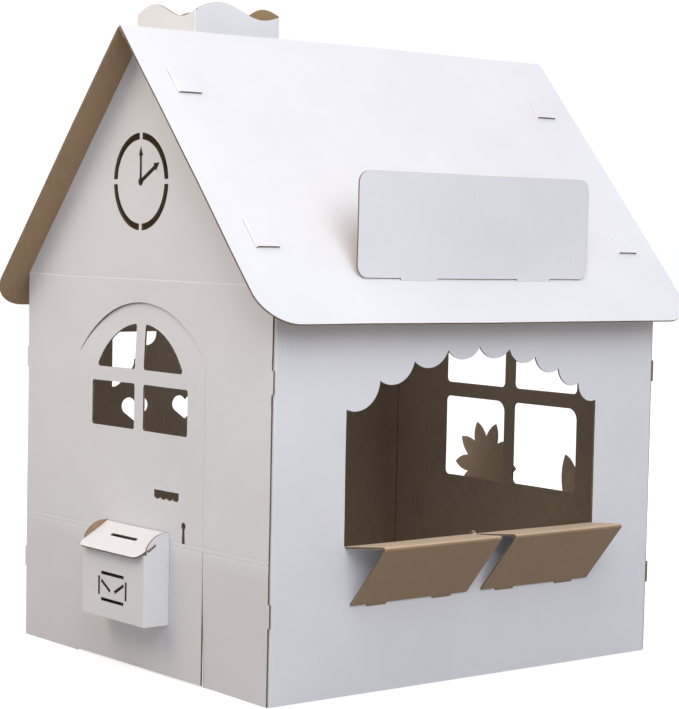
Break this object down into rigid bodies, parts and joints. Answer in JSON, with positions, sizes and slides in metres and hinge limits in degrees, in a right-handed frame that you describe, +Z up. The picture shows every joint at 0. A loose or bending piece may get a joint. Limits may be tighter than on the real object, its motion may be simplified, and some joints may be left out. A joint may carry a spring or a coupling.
{
  "type": "cardboard playhouse",
  "caption": "Folded and slotted cardboard playhouse with a hinged arched door, letterbox, clock cut-out, serving hatch with shelves, gabled roof, sign board and chimney.",
  "frame": {"origin": "on the floor, under the middle of the whole footprint", "axes": "+Z up, -Y out of the door gable, +X out of the serving hatch side"},
  "size_m": [1.077, 1.215, 1.388],
  "materials": {
    "board": "matte"
  },
  "bodies": {
    "house": {"front_wall": "board", "rear_wall": "board", "flower_box": "board", "right_wall": "board", "left_wall": "board", "roof_right": "board", "roof_left": "board", "roof_sign": "board", "chimney": "board"},
    "door": {"door": "board", "letterbox": "board", "letterbox_lid": "board"}
  },
  "joints": [
    {"name": "door_hinge", "type": "hinge", "parent": "house", "child": "door", "pos_m": [-0.2545, -0.5325, 0], "axis": [0, 0, -1], "range_deg": [0, 120]}
  ]
}
